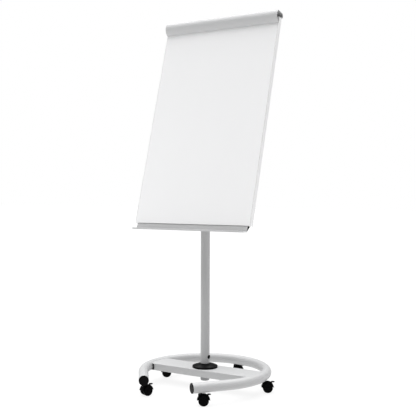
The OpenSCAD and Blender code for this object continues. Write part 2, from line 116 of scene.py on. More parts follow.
def make_floor():
    """A floor that glows, so that it fades into the white behind it and keeps only faint shadows."""
    half = 40
    corners = [(-half, -half, 0), (half, -half, 0), (half, half, 0), (-half, half, 0)]
    mesh = bpy.data.meshes.new("floor")
    mesh.from_pydata(corners, [], [(0, 1, 2, 3)])
    floor = bpy.data.objects.new("floor", mesh)
    bpy.context.scene.collection.objects.link(floor)
    mat = bpy.data.materials.new("floor_white")
    mat.use_nodes = True
    shader = mat.node_tree.nodes["Principled BSDF"]
    shader.inputs["Base Color"].default_value = (0.12, 0.12, 0.12, 1)
    shader.inputs["Roughness"].default_value = 0.9
    shader.inputs["Emission Color"].default_value = (1, 1, 1, 1)
    shader.inputs["Emission Strength"].default_value = 0.84
    mesh.materials.append(mat)


def make_studio():
    bpy.context.scene.view_settings.view_transform = "Standard"
    make_world()
    make_floor()
    softbox("left_softbox", (-2.2, -1.5, 1.3), (0, 0, 1.1), (1.2, 2.0), 8)
    softbox("right_softbox", (3.6, 0.6, 1.8), (0, 0, 0.9), (1.4, 2.4), 12)
    overhead()


# ---- Materials ----


class Finish:
    """A Principled material whose colour, roughness and relief vary with object-space noise."""

    def __init__(self, name, colour, roughness, metallic=0.0, **sockets):
        self.mat = bpy.data.materials.new(name)
        self.mat.use_nodes = True
        self.tree = self.mat.node_tree
        self.shader = self.tree.nodes["Principled BSDF"]
        self.colour = colour
        self.shader.inputs["Base Color"].default_value = (*colour, 1)
        self.shader.inputs["Roughness"].default_value = roughness
        self.shader.inputs["Metallic"].default_value = metallic
        for socket, value in sockets.items():
            self.shader.inputs[socket.replace("_", " ")].default_value = value
        self.place = self.tree.nodes.new("ShaderNodeTexCoord").outputs["Object"]

    def noise(self, scale, detail=3.0, stretch=(1, 1, 1), turn=(0, 0, 0), offset=0.0):
        """Noise with features of about 1 / scale metres, drawn out where stretch is small."""
        mapping = self.tree.nodes.new("ShaderNodeMapping")
        mapping.inputs["Scale"].default_value = stretch
        mapping.inputs["Rotation"].default_value = turn
        mapping.inputs["Location"].default_value = (offset, offset, offset)
        self.tree.links.new(self.place, mapping.inputs["Vector"])
        texture = self.tree.nodes.new("ShaderNodeTexNoise")
        texture.inputs["Scale"].default_value = scale
        texture.inputs["Detail"].default_value = detail
        self.tree.links.new(mapping.outputs["Vector"], texture.inputs["Vector"])
        return texture.outputs["Fac"]

    def cells(self, scale):
        """Round grains of about 1 / scale metres."""
        texture = self.tree.nodes.new("ShaderNodeTexVoronoi")
        texture.inputs["Scale"].default_value = scale
        self.tree.links.new(self.place, texture.inputs["Vector"])
        return texture.outputs["Distance"]

    def painted_hollow_shade(self, reach):
        """Mask for painted shade: high where other surfaces close in within that reach, in metres."""
        node = self.tree.nodes.new("ShaderNodeAmbientOcclusion")
        node.inputs["Distance"].default_value = reach
        return self.spread(node.outputs["AO"], 0.75, 0.35, 0.0, 1.0)

    def edges(self):
        """High on outer edges, from the mesh's pointiness."""
        geometry = self.tree.nodes.new("ShaderNodeNewGeometry")
        return self.spread(geometry.outputs["Pointiness"], 0.52, 0.60, 0.0, 1.0)

    def spread(self, source, from_low, from_high, to_low, to_high):
        """Maps one range of values to another and holds it at the ends."""
        node = self.tree.nodes.new("ShaderNodeMapRange")
        limits = {"From Min": from_low, "From Max": from_high, "To Min": to_low, "To Max": to_high}
        for socket, value in limits.items():
            node.inputs[socket].default_value = value
        self.tree.links.new(source, node.inputs["Value"])
        return node.outputs["Result"]

    def tint(self, factor, colour):
        """Mixes a second colour in where factor is high."""
        mix = self.tree.nodes.new("ShaderNodeMix")
        mix.data_type = "RGBA"
        first, second = [s for s in mix.inputs if s.type == "RGBA"]
        base = self.shader.inputs["Base Color"]
        if base.links:
            self.tree.links.new(base.links[0].from_socket, first)
        else:
            first.default_value = base.default_value
        second.default_value = (*colour, 1)
        self.tree.links.new(factor, mix.inputs["Factor"])
        mixed = [s for s in mix.outputs if s.type == "RGBA"][0]
        self.tree.links.new(mixed, base)
        return self

    def shades(self, source, low, high):
        """Varies the base colour between low and high times itself, where the noise runs from 0.3 to 0.7."""
        self.shader.inputs["Base Color"].default_value = (*[c * high for c in self.colour], 1)
        return self.tint(self.spread(source, 0.7, 0.3, 0.0, 1.0), [c * low for c in self.colour])

    def rough(self, source, low, high):
        """Runs the roughness from low to high, where the noise runs from 0.3 to 0.7."""
        self.tree.links.new(self.spread(source, 0.3, 0.7, low, high), self.shader.inputs["Roughness"])
        return self

    def relief(self, source, depth, strength=1.0):
        """Bump of that depth in metres, added to any there is."""
        node = self.tree.nodes.new("ShaderNodeBump")
        node.inputs["Distance"].default_value = depth
        node.inputs["Strength"].default_value = strength
        self.tree.links.new(source, node.inputs["Height"])
        normal = self.shader.inputs["Normal"]
        if normal.links:
            self.tree.links.new(normal.links[0].from_socket, node.inputs["Normal"])
        self.tree.links.new(node.outputs["Normal"], normal)
        return self


def powder_coat(name, colour, roughness=0.42):
    """Satin powder coat: orange peel of a millimetre or so, and a little cloudiness."""
    f = Finish(name, colour, roughness)
    f.shades(f.noise(9, 4), 0.965, 1.0)
    f.rough(f.noise(60, 4, offset=3), roughness - 0.05, roughness + 0.06)
    f.relief(f.noise(700, 2), 0.00005)
    f.relief(f.noise(2600, 1, offset=7), 0.000012)
    return f.mat


def aluminium(name, colour, grain_turn=(0, 0, 0), roughness=0.55):
    """Satin anodised extrusion, with fine drawing lines along its length and painted shade darkening its hollows.
    """
    f = Finish(name, colour, roughness, metallic=0.12)
    lines = f.noise(1.0, 4, stretch=(3, 900, 900), turn=grain_turn)
    f.shades(lines, 0.95, 1.0)
    f.rough(lines, roughness - 0.05, roughness + 0.08)
    f.relief(lines, 0.00002)
    # Painted shade: ambient occlusion darkens the base colour to 0.6 of itself where other surfaces close in
    # within 5 cm, such as inside the rail and tray.
    f.tint(f.painted_hollow_shade(0.05), [c * 0.6 for c in colour])
    return f.mat


def bare_steel(name, colour, roughness, stretch=(1, 1, 1)):
    """Zinc-plated or chromed steel: fine scratches and a faint cloud of tint."""
    f = Finish(name, colour, roughness, metallic=1.0)
    f.shades(f.noise(120, 3), 0.90, 1.0)
    warm = (colour[0] * 0.98, colour[1] * 0.95, colour[2] * 0.84)
    f.tint(f.spread(f.noise(35, 2, offset=5), 0.5, 0.8, 0.0, 0.35), warm)
    scratches = f.noise(500, 3, stretch=stretch)
    f.rough(scratches, roughness * 0.8, roughness * 1.35)
    f.relief(scratches, 0.000008)
    return f.mat


def moulded(name, colour, roughness=0.42, grain=1500, wear=0.25, level=0.5):
    """Moulded black plastic: a fine spark-eroded grain, with paler worn edges."""
    f = Finish(name, colour, roughness, Specular_IOR_Level=level)
    f.shades(f.noise(50, 3), 0.8, 1.0)
    f.tint(f.spread(f.edges(), 0, 1, 0, wear), [c + 0.02 for c in colour])
    f.rough(f.noise(90, 3, offset=2), roughness - 0.06, roughness + 0.10)
    f.relief(f.cells(grain), 0.00003)
    return f.mat


def dry_wipe(name, colour):
    """Satin lacquered sheet: nearly flat, with the faint haze that wiping leaves."""
    f = Finish(name, colour, 0.45, Specular_IOR_Level=0.15)
    f.shades(f.noise(2.2, 3, stretch=(1, 0.4, 0.8)), 0.985, 1.0)
    wiped = f.noise(7, 5, stretch=(1.0, 4.0, 4.0), turn=(0, radians(24), 0))
    f.rough(wiped, 0.43, 0.47)
    f.relief(f.noise(160, 2, offset=4), 0.000006)
    return f.mat


def hardboard(name, colour):
    """Coated hardboard back: short fibres and small specks."""
    f = Finish(name, colour, 0.8)
    fibres = f.noise(260, 5, stretch=(1, 1, 0.35))
    f.shades(fibres, 0.90, 1.0)
    f.tint(f.spread(f.noise(900, 2, offset=9), 0.68, 0.8, 0.0, 0.5), [c * 0.6 for c in colour])
    f.relief(fibres, 0.00008)
    return f.mat


def white_trim(name, colour):
    """Extruded white profile: smooth, with faint drawing lines along the board."""
    f = Finish(name, colour, 0.32)
    lines = f.noise(1.0, 3, stretch=(700, 700, 4), turn=(radians(16), 0, 0))
    f.shades(f.noise(14, 3), 0.975, 1.0)
    f.rough(f.noise(60, 3), 0.28, 0.38)
    f.relief(lines, 0.00001)
    return f.mat


def make_materials():
    """One material for each slot of the record."""
    return {
        "base_paint": powder_coat("base_paint", (0.53, 0.532, 0.535)),
        "column_paint": powder_coat("column_paint", (0.48, 0.482, 0.485), 0.38),
        "socket_steel": powder_coat("socket_steel", (0.30, 0.305, 0.31), 0.5),
        "black_plastic": moulded("black_plastic", (0.003, 0.003, 0.0033), 0.34, level=0.06),
        "castor_plastic": moulded("castor_plastic", (0.002, 0.002, 0.0022), 0.46, level=0.03),
        "wheel_plastic": moulded("wheel_plastic", (0.0025, 0.0025, 0.0027), 0.50, 1100, wear=0.3, level=0.03),
        "zinc_steel": bare_steel("zinc_steel", (0.62, 0.63, 0.64), 0.30, (1, 1, 0.15)),
        "chrome_rod": bare_steel("chrome_rod", (0.80, 0.80, 0.82), 0.08, (1, 1, 0.05)),
        "black_steel": powder_coat("black_steel", (0.02, 0.02, 0.022), 0.30),
        "dark_bracket": powder_coat("dark_bracket", (0.07, 0.07, 0.075), 0.42),
        "board_enamel": dry_wipe("board_enamel", (0.885, 0.885, 0.887)),
        "hardboard": hardboard("hardboard", (0.60, 0.59, 0.56)),
        "white_profile": white_trim("white_profile", (0.93, 0.93, 0.93)),
        "channel_steel": powder_coat("channel_steel", (0.48, 0.482, 0.485), 0.40),
        "silver_aluminium": aluminium("silver_aluminium", (0.58, 0.582, 0.585)),
    }


make_camera()
make_studio()
MATERIALS = make_materials()

# ---- Mesh tools ----


def fillet(points, steps=5):
    """A closed outline with rounded corners; each point is [x, y] or [x, y, corner radius]."""
    out = []
    count = len(points)
    for i, point in enumerate(points):
        here = Vector(point[:2])
        radius = point[2] if len(point) > 2 else 0
        if not radius:
            out.append(here)
            continue
        back = (Vector(points[i - 1][:2]) - here).normalized()
        ahead = (Vector(points[(i + 1) % count][:2]) - here).normalized()
        half = acos(max(-1, min(1, back.dot(ahead)))) / 2
        centre = here + (back + ahead).normalized() * (radius / sin(half))
        first = here + back * (radius / tan(half)) - centre
        last = here + ahead * (radius / tan(half)) - centre
        start = atan2(first.y, first.x)
        turn = (atan2(last.y, last.x) - start + pi) % (2 * pi) - pi
        out += [centre + radius * Vector((cos(start + turn * k / steps), sin(start + turn * k / steps)))
                for k in range(steps + 1)]
    return out


def arc(centre, radius, start, end, steps=12):
    """Points along an arc, with its angles in degrees."""
    return [(centre[0] + radius * cos(radians(start + (end - start) * k / steps)),
             centre[1] + radius * sin(radians(start + (end - start) * k / steps))) for k in range(steps + 1)]


def loft(bm, rings, closed=False, caps=True):
    """Skins rings that have the same number of points."""
    loops = [[bm.verts.new(p) for p in ring] for ring in rings]
    pairs = list(zip(loops, loops[1:])) + ([(loops[-1], loops[0])] if closed else [])
    count = len(loops[0])
    for a, b in pairs:
        for k in range(count):
            q = (k + 1) % count
            bm.faces.new((a[k], a[q], b[q], b[k]))
    if caps and not closed:
        bm.faces.new(list(reversed(loops[0])))
        bm.faces.new(loops[-1])
    return bm


def revolve(profile, steps=64, start=0.0, end=360.0):
    """Turns a closed [radius, z] outline about Z."""
    bm = bmesh.new()
    whole = end - start >= 360
    angles = [radians(start + (end - start) * k / steps) for k in range(steps if whole else steps + 1)]
    rings = [[(p[0] * cos(a), p[0] * sin(a), p[1]) for p in profile] for a in angles]
    loft(bm, rings, closed=whole)
    bmesh.ops.remove_doubles(bm, verts=bm.verts, dist=1e-5)
    return bm


def prism(outline, low, high, round_edge=0.0, steps=2):
    """Extrudes a closed [x, y] outline along Z, with its rims rounded."""
    bm = bmesh.new()
    loft(bm, [[(p[0], p[1], z) for p in outline] for z in (low, high)])
    if round_edge:
        rims = [e for e in bm.edges if abs(e.verts[0].co.z - e.verts[1].co.z) < 1e-6]
        bmesh.ops.bevel(bm, geom=rims, offset=round_edge, segments=steps, profile=0.5, affect="EDGES",
                        clamp_overlap=True)
    return bm


def sweep(path, section, closed=False):
    """Sweeps section(k) = [[across, up], ...] along a 3-D path, keeping it from twisting."""
    points = [Vector(p) for p in path]
    count = len(points)
    rings = []
    side = None
    for i, here in enumerate(points):
        before = points[i - 1] if i or closed else here
        after = points[(i + 1) % count] if i + 1 < count or closed else here
        along = (after - before).normalized()
        if side is None:
            side = along.cross(Vector((0, 0, 1)) if abs(along.z) < 0.9 else Vector((1, 0, 0))).normalized()
        side = (side - along * side.dot(along)).normalized()
        up = side.cross(along)
        rings.append([here + side * a + up * b for a, b in section(i)])
    bm = bmesh.new()
    return loft(bm, rings, closed=closed)


def rod(radius, low, high, sides=32, edges=(0, 0)):
    """A solid cylinder about Z, with its lower and upper edge rounded by those radii."""
    outline = [(0, low), (radius, low, edges[0]), (radius, high, edges[1]), (0, high)]
    return revolve(fillet(outline) if any(edges) else outline, sides)


def round_section(radius, sides):
    """A circle as [across, up] points, for sweep."""
    return [(radius * cos(2 * pi * k / sides), radius * sin(2 * pi * k / sides)) for k in range(sides)]


def bar(low, high, round_edge=0.0, steps=2):
    """A block from its two corners, with all edges rounded."""
    bm = bmesh.new()
    bmesh.ops.create_cube(bm, size=1)
    for vert in bm.verts:
        vert.co = [low[k] + (vert.co[k] + 0.5) * (high[k] - low[k]) for k in range(3)]
    if round_edge:
        bmesh.ops.bevel(bm, geom=bm.edges[:], offset=round_edge, segments=steps, profile=0.5, affect="EDGES")
    return bm


def turned(bm, matrix):
    """Moves the mesh by the matrix."""
    bmesh.ops.transform(bm, matrix=matrix, verts=bm.verts)
    return bm


def along_x(bm):
    """Turns a piece drawn along Z so that it lies along X."""
    return turned(bm, Matrix.Rotation(pi / 2, 4, "Y"))


def as_object(name, bm):
    """Puts the mesh in the scene and lets go of its edit copy."""
    bmesh.ops.recalc_face_normals(bm, faces=bm.faces)
    mesh = bpy.data.meshes.new(name)
    bm.to_mesh(mesh)
    bm.free()
    obj = bpy.data.objects.new(name, mesh)
    bpy.context.scene.collection.objects.link(obj)
    return obj


def applied(obj):
    """Applies the object's modifiers to its mesh."""
    bpy.context.view_layer.update()
    mesh = bpy.data.meshes.new_from_object(obj.evaluated_get(bpy.context.evaluated_depsgraph_get()))
    obj.modifiers.clear()
    old = obj.data
    obj.data = mesh
    bpy.data.meshes.remove(old)
    return obj


def combined(base, others, how):
    """The exact union of meshes, or what is left of the first once the others are cut from it."""
    body = as_object("body", base)
    for other in others:
        tool = as_object("tool", other)
        step = body.modifiers.new("step", "BOOLEAN")
        step.operation = how
        step.solver = "EXACT"
        step.object = tool
        applied(body)
        bpy.data.objects.remove(tool)
    bm = bmesh.new()
    bm.from_mesh(body.data)
    bpy.data.objects.remove(body)
    return bm


def joined(*parts):
    """Solids fused into one."""
    return combined(parts[0], parts[1:], "UNION")


def cut(base, *tools):
    """The first solid with the others taken out of it."""
    return combined(base, tools, "DIFFERENCE")


def together(*parts):
    """Separate solids kept in one mesh."""
    bm = bmesh.new()
    for part in parts:
        mesh = bpy.data.meshes.new("part")
        bmesh.ops.recalc_face_normals(part, faces=part.faces)
        part.to_mesh(mesh)
        part.free()
        bm.from_mesh(mesh)
        bpy.data.meshes.remove(mesh)
    return bm


def piece(name, bm, node, place=None, replaces=True, bevel=0.0, sharp=32, slot=None):
    """Turns a mesh in millimetres into a finished piece that rides with a CAD node and takes its material.

    A rounded piece needs a sharp angle under 22 degrees, half a step of its bevel, to keep its faces flat.
    """
    obj = as_object(name, bm)
    obj.data.transform(MM)
    if bevel:
        rounding = obj.modifiers.new("edges", "BEVEL")
        rounding.width = bevel * 0.001
        rounding.segments = 2
        rounding.limit_method = "ANGLE"
        rounding.angle_limit = radians(40)
        applied(obj)
    if place:
        obj.data.transform(place)
    obj.data.shade_smooth()
    obj.data.set_sharp_from_angle(angle=radians(sharp))
    slot = slot or SLOTS[node]
    obj.data.materials.clear()
    obj.data.materials.append(MATERIALS[slot])
    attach(obj, BODIES[node])
    if replaces:
        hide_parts(node)
    return obj


def cad_shape(node):
    """A copy of a CAD node's shape, in millimetres, with its flat faces whole again."""
    bm = bmesh.new()
    bm.from_mesh(frame["nodes"][node].data)
    turned(bm, Matrix.Scale(1000, 4))
    bmesh.ops.remove_doubles(bm, verts=bm.verts, dist=1e-3)
    bmesh.ops.dissolve_limit(bm, angle_limit=radians(0.5), verts=bm.verts, edges=bm.edges)
    return bm


def refined(node, bevel):
    """A CAD node's own shape with its hard edges rounded."""
    return piece(node + "_rounded", cad_shape(node), node, bevel=bevel, sharp=20)


def dress_cad_nodes():
    """Gives every CAD node the finish of its material slot."""
    for node, obj in frame["nodes"].items():
        obj.data.materials.clear()
        obj.data.materials.append(MATERIALS[SLOTS[node]])


dress_cad_nodes()

# ---- Placing ----


def box_mm(node):
    """Lowest and highest corner of a CAD node, in millimetres."""
    low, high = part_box(node)
    return low * 1000, high * 1000


PIVOT = Vector(JOINTS["board_tilt"]["pos_m"])
LEAN = radians(-JOINTS["board_tilt"]["range_deg"][0])
BOARD = Matrix.Translation(PIVOT) @ Matrix.Rotation(-LEAN, 4, "X")
ALONG_X = Matrix(((0, 0, 1, 0), (1, 0, 0, 0), (0, 1, 0, 0), (0, 0, 0, 1)))
AXLE_ON_Y = Matrix.Rotation(pi / 2, 4, "X")

# The board's own frame, in millimetres: the tilt axis is the origin, +Y goes to the back, +Z up the board
FACE_Y = -60
BACK_Y = -34
BOTTOM = -317
HALF_W = 340
RAIL_Z = BOTTOM + 1055

# The base tube is bent about the column. Its right limb runs on along the tangent from where the bend ends.
BEND_END = Vector((0.8, -0.6, 0))
LIMB = Vector((-0.6, -0.8, 0))

# ---- Base ----


def base_sizes():
    """Radius of the base tube, radius of its bend, the bend's right end and the right limb's tip."""
    low, high = box_mm("base_ring")
    tube_r = (high.z - low.z) / 2
    bend = high.x - tube_r
    bend_end = BEND_END * bend + Vector((0, 0, (high.z + low.z) / 2))
    limb_len = (bend_end.y - low.y + LIMB.x * tube_r) / -LIMB.y
    return tube_r, bend, bend_end, bend_end + LIMB * limb_len


def flipped(v):
    """The same place on the other side of the easel."""
    return Vector((-v.x, v.y, v.z))


def build_base_ring():
    """The bent tube: right limb, bend and left limb in one sweep."""
    tube_r, bend, bend_end, tip = base_sizes()
    right = [tip.lerp(bend_end, k / 8) for k in range(8)]
    first = degrees(atan2(BEND_END.y, BEND_END.x))
    curve = [Vector((x, y, bend_end.z)) for x, y in arc((0, 0), bend, first, 180 - first, 120)]
    path = right + curve + [flipped(p) for p in reversed(right)]
    section = round_section(tube_r, 48)
    piece("base_tube", sweep(path, lambda k: section), "base_ring")


def build_end_caps():
    """Moulded plugs with a raised rim, pushed into the tube's open ends."""
    tube_r, _, _, tip = base_sizes()
    plug_r = tube_r - 2.2
    outline = fillet([(0, -14), (plug_r, -14, 1), (plug_r, 0), (tube_r, 0, 0.3), (tube_r, 3.2, 1.4),
                      (19.5, 4.0, 1), (18.6, 3.1, 0.6), (0, 3.1)])
    caps = []
    for end, outward in ((tip, LIMB), (flipped(tip), flipped(LIMB))):
        facing = outward.to_track_quat("Z", "Y").to_matrix().to_4x4()
        caps.append(turned(revolve(outline), Matrix.Translation(end) @ facing))
    piece("end_plugs", together(*caps), "ring_end_caps")


def crossbar_sizes():
    """Bottom, top and half width of the crossbar."""
    low, high = box_mm("crossbar")
    return low.z, high.z, high.y


def build_crossbar():
    """A folded hollow bar with rounded edges, its side walls cut back where they meet the bent tube."""
    bottom, top, half = crossbar_sizes()
    wall, end, walls_end = 3, 302, 271

    def section(inset, radius):
        side, low, high = half - inset, bottom + inset, top - inset
        corners = ((-side, low), (side, low), (side, high), (-side, high))
        return fillet([(x, y, radius) for x, y in corners])

    outer = prism(section(0, 3.5), -end, end)
    tools = [prism(section(wall, 1), -end - 1, end + 1)]
    for side in (-1, 1):
        for face in (-1, 1):
            near, far = sorted((face * (half - wall - 0.5), face * (half + 1)))
            ends = sorted((side * walls_end, side * (end + 1)))
            tools.append(bar((near, bottom + wall, ends[0]), (far, top - wall, ends[1])))
    piece("folded_crossbar", cut(outer, *tools), "crossbar", place=ALONG_X)


def build_weld_beads():
    """Fillet welds along the top and bottom edges of the crossbar's ends, rippled like hand-laid beads."""
    tube_r, bend, bend_end, _ = base_sizes()
    bottom, top, half = crossbar_sizes()
    bead_r, ripple = 1.9, 0.14
    beads = []
    for z in (bottom + 0.4, top - 0.4):
        radius = bend - sqrt(tube_r ** 2 - (z - bend_end.z) ** 2)
        reach = asin((half - 4) / radius)
        for side in (-1, 1):
            angles = [reach * (k / 40 - 1) for k in range(81)]
            path = [(side * radius * cos(a), radius * sin(a), z) for a in angles]
            beads.append(sweep(path, lambda k: round_section(bead_r * (1 + ripple * sin(k * 1.9)), 12)))
    piece("weld_beads", together(*beads), "crossbar", replaces=False)


def build_collar():
    """Moulded skirt round the column's foot: a low rim, a domed slope and a neck round the tube."""
    top = crossbar_sizes()[1]
    tube = box_mm("column_tube")[1].x
    rim = box_mm("column_collar")[1].x
    neck = tube + 2.5
    dome_r, dome_low, dome_h = rim - 1.4, 9.4, 10.3
    slope = [k / 24 for k in range(25)]
    dome = [(dome_r - f * (dome_r - neck), dome_low + dome_h * (1 - (1 - f) ** 2)) for f in slope]
    outer = arc((rim - 1, 1), 1, -90, 0, 3) + [(rim, 7.6)] + arc((rim - 1.6, 8), 1.6, 0, 55, 4) + dome
    inner = fillet([(neck, 22, 0.8), (tube + 0.1, 22), (tube + 0.1, 14), (neck + 4, 14), (rim - 5, 6),
                    (rim - 2.5, 0)])
    piece("column_skirt", revolve(outer + inner, 96), "column_collar",
          place=Matrix.Translation((0, 0, top / 1000)))


def build_column():
    """Outer tube, the small plug in its side, the guide bush's flange and the inner tube."""
    low, high = box_mm("column_tube")
    bore = high.x - 2.5
    outline = fillet([(bore, low.z), (high.x, low.z, 0.4), (high.x, high.z, 0.9), (bore, high.z, 0.8)])
    piece("outer_tube", revolve(outline, 96), "column_tube")

    low, high = box_mm("column_plug")
    radius = (high.z - low.z) / 2
    inner, face, dish = 20.9, 25.5, 24.7
    button = fillet([(0, inner), (radius, inner), (radius, face, 1.1), (6.4, face, 0.5), (5.6, dish, 0.4),
                     (0, dish)])
    centre = Matrix.Translation((0, 0, (low.z + high.z) / 2000))
    piece("plug_button", along_x(revolve(button, 48)), "column_plug", place=centre)

    low, high = box_mm("guide_bush")
    bore = box_mm("inner_tube")[1].x + 0.05
    sleeve_r, flange = 21, high.z - 8
    outline = fillet([(bore, low.z), (sleeve_r, low.z), (sleeve_r, flange), (high.x, flange, 0.4),
                      (high.x, high.z, 1.6), (bore, high.z, 1.0)])
    piece("guide_collar", revolve(outline, 96), "guide_bush")

    low, high = box_mm("inner_tube")
    bore = high.x - 2
    outline = fillet([(bore, low.z, 0.5), (high.x, low.z, 0.8), (high.x, high.z, 0.3), (bore, high.z)])
    piece("sliding_tube", revolve(outline, 96), "inner_tube")


# ---- Castors ----


# The castor's own frame, in millimetres: it swivels about Z, the axle is at x = trail, the floor is at z = 0
CASTOR = {"trail": 16, "wheel_r": 25, "wheel_in": 5.6, "wheel_w": 15, "web_half": 5, "hood_half": 17,
          "neck_top": 55, "pivot": (28, 44), "tip": 51}


def castor_hood():
    """Hood over both wheels with beads along its lower rims, and the middle web, about the axle."""
    rim_angle, half = 7.5, CASTOR["hood_half"]
    shell = fillet([(28.5, -half), (30.0, -half, 1.0), (31.0, -9, 8), (31.0, 9, 8), (30.0, half, 1.0),
                    (28.5, half)])
    hood = revolve(shell, 48, rim_angle, 180 - rim_angle)
    web = arc((0, 0), 29.6, 4, 176, 40) + arc((0, 0), 9, 190, 350, 16)
    web = prism(web, -CASTOR["web_half"], CASTOR["web_half"], 0.5)
    parts = [turned(hood, AXLE_ON_Y), turned(web, AXLE_ON_Y)]
    for angle in (radians(rim_angle), radians(180 - rim_angle)):
        bead = rod(1.7, -half + 0.3, half - 0.3, 16, (0.6, 0.6))
        parts.append(turned(bead, Matrix.Translation((30.0 * cos(angle), 0, 30.0 * sin(angle))) @ AXLE_ON_Y))
    return parts


def castor_housing():
    """The hood and web with a neck for the stem, pockets for the wheels and a slot for the pedal's arm."""
    neck_top, web_half = CASTOR["neck_top"], CASTOR["web_half"]
    axle = Matrix.Translation((CASTOR["trail"], 0, CASTOR["wheel_r"]))
    parts = [turned(p, axle) for p in castor_hood()] + [rod(10, 33, neck_top, 40, (0, 1.0))]
    tools = []
    for side in (-1, 1):
        near, far = side * web_half, side * 20
        pocket = revolve([(0, near), (28.4, near), (28.4, far), (0, far)], 64)
        tools.append(turned(pocket, axle @ AXLE_ON_Y))
    tools.append(rod(4.05, neck_top - 15, neck_top + 1))
    x, z = CASTOR["pivot"]
    tools.append(bar((x - 6, -3.3, z - 7), (x + 18, 3.3, neck_top + 2)))
    return cut(joined(*parts), *tools)


def castor_wheel():
    """One wheel about Z, its open side at 0: tread, dished face with six ribs, closed hub."""
    width, radius = CASTOR["wheel_w"], CASTOR["wheel_r"]
    outline = fillet([
        (3.05, 0), (7, 0, 0.5), (7, 11.5, 1.5), (20.5, 11.5, 1.5), (20.5, 0, 0.5), (radius - 1.6, 0, 0.5),
        (radius, 1.6, 1.2), (radius, width - 2.6, 2.2), (radius - 2.6, width, 1.2), (20.4, width, 0.5),
        (19.4, 13.4, 0.7), (9.2, 13.4, 0.9), (8.2, width, 0.6), (5, width + 0.3, 2), (0, width + 0.4),
        (0, 12.9), (3.05, 12.9)])
    ribs = []
    for k in range(6):
        rib = bar((8.6, -1.1, 12.6), (20.0, 1.1, 14.5), 0.4)
        ribs.append(turned(rib, Matrix.Rotation(k * pi / 3, 4, "Z")))
    return joined(revolve(outline, 72), *ribs)


def castor_pedal():
    """Brake pedal: hub on its pivot, a crooked arm and a rounded tab with three grip ridges."""
    x, z = CASTOR["pivot"]
    tab, tip = CASTOR["neck_top"] - 3.5, CASTOR["tip"]
    pivot = Matrix.Translation((x, 0, z)) @ AXLE_ON_Y
    hub = turned(rod(4, -2.9, 2.9, 32, (0.5, 0.5)), pivot)
    pin = turned(rod(2, -5, 5, 24), pivot)
    arm = fillet([(x - 3, z), (x + 3, z), (x + 12, tab + 0.5, 2), (x + 12, tab + 3), (x + 5, tab + 3, 3)])
    arm = turned(prism(arm, -2.9, 2.9, 0.4), AXLE_ON_Y)
    plate = fillet([(x + 6, -8, 1.5), (tip, -8, 7.5), (tip, 8, 7.5), (x + 6, 8, 1.5)], 8)
    plate = prism(plate, tab, tab + 4, 1.1, 3)
    ridges = []
    for k in range(3):
        start = x + 13 + 3.2 * k
        ridges.append(bar((start, -5.5 + k, tab + 3.4), (start + 1.4, 5.5 - k, tab + 4.5), 0.4))
    return joined(plate, arm, hub, pin, *ridges)


def copy_of(mesh):
    """A fresh edit copy of a kept mesh."""
    bm = bmesh.new()
    bm.from_mesh(mesh)
    return bm


def kept(bm):
    """A mesh kept for copying."""
    mesh = bpy.data.meshes.new("pattern")
    bmesh.ops.recalc_face_normals(bm, faces=bm.faces)
    bm.to_mesh(mesh)
    bm.free()
    return mesh


def build_castors():
    """Each castor's pieces, copied from one pattern and turned to its own heading."""
    piece("castor_sockets_black", cad_shape("castor_sockets"), "castor_sockets", bevel=0.3,
          slot="black_steel")
    housing, wheel, pedal = kept(castor_housing()), kept(castor_wheel()), kept(castor_pedal())
    axle = Matrix.Translation((CASTOR["trail"], 0, CASTOR["wheel_r"]))
    beside_web = Matrix.Translation((0, 0, CASTOR["wheel_in"]))
    for where in ("front_left", "front_right", "left", "right", "back"):
        castor = "castor_" + where
        axis = JOINTS[castor + "_brake"]["axis"]
        heading = atan2(-axis[0], axis[1])
        place = Matrix.Translation(JOINTS[castor + "_swivel"]["pos_m"]) @ Matrix.Rotation(heading, 4, "Z")
        piece(castor + "_hood", copy_of(housing), castor + "_housing", place=place)
        piece(castor + "_pedal", copy_of(pedal), castor + "_brake_pedal", place=place)
        for side, word in ((1, "left"), (-1, "right")):
            on_axle = axle @ Matrix.Rotation(-side * pi / 2, 4, "X") @ beside_web
            tread = turned(copy_of(wheel), on_axle)
            piece(f"{castor}_tread_{word}", tread, f"{castor}_wheel_{word}", place=place)


# ---- Head ----


def build_grip():
    """Soft grip with six waists along it and a rounded nose."""
    low, high = box_mm("lever_grip")
    start, end, radius = low.x, high.x, (high.z - low.z) / 2
    waist = [(radius - 0.9 * sin(pi * k / 10) ** 2, start + 8 + 48 * k / 60) for k in range(61)]
    nose = arc((0, end - radius), radius, 0, 90, 12)
    bore = [(0, end - 14), (4, end - 14)]
    outline = [(4, start)] + arc((radius - 2, start + 2), 2, -90, 0, 5) + waist + nose + bore
    piece("soft_grip", along_x(revolve(outline, 48)), "lever_grip",
          place=Matrix.Translation((0, 0, (low.z + high.z) / 2000)))


def build_knob():
    """Star knob with five lobes, a neck and a dished face, on the end of the tilt bolt."""
    lobes, steps, mean_r, swing = 5, 120, 21.6, 4.2
    star = []
    for k in range(steps):
        angle = 2 * pi * k / steps
        radius = mean_r + swing * cos(lobes * angle)
        star.append((radius * cos(angle), radius * sin(angle)))
    head = prism(star, 38, 54, 2.6, 4)
    neck = rod(12, 24.7, 40, 48, (0.8, 0))
    dish = revolve([(0, 52.8), (10.5, 52.8), (11.5, 55), (0, 55)], 48)
    bore = rod(6.05, 20, 50.5, 40)
    knob = cut(joined(head, neck), dish, bore)
    piece("star_knob", turned(knob, Matrix.Rotation(-pi / 2, 4, "Y")), "tilt_knob", place=BOARD)


def build_head():
    """The tilt head on top of the column, its lever and its knob."""
    refined("head_block", 1.0)
    refined("tilt_bracket", 0.7)
    refined("release_lever", 0.5)
    build_grip()
    build_knob()


